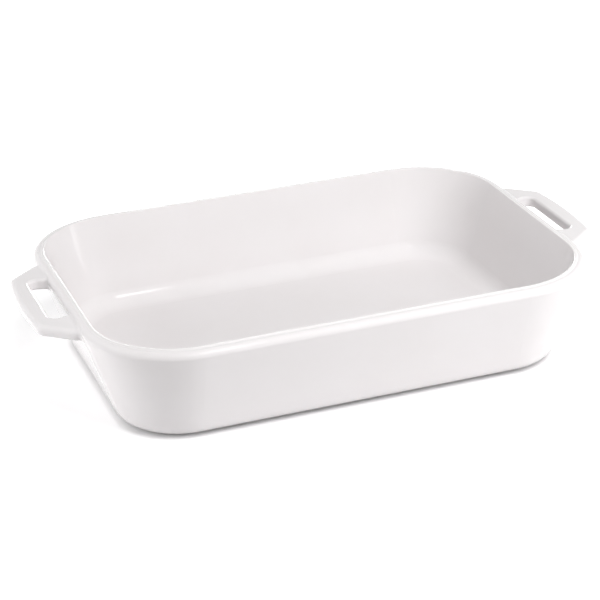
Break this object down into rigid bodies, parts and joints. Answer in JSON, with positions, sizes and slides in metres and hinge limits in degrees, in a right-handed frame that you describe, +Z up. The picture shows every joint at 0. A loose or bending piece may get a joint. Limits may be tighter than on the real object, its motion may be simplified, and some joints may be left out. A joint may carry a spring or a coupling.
{
  "type": "lasagna dish",
  "caption": "Deep rectangular stoneware oven dish with tapered walls, a rolled lip, and a slotted grip at each short end, for baking and serving.",
  "frame": {"origin": "middle of the dish's footprint on the table, at the underside of the foot ring", "axes": "+X along the dish towards its right handle, +Y across it towards the back long side, +Z up out of the mouth"},
  "size_m": [0.39, 0.24, 0.0694],
  "materials": {
    "glaze": "glossy white glaze",
    "bare_clay": "matt unglazed stoneware"
  },
  "bodies": {
    "root": {"dish_body": "glaze", "handle_left": "glaze", "handle_right": "glaze", "foot_ring": "bare_clay"}
  },
  "joints": []
}
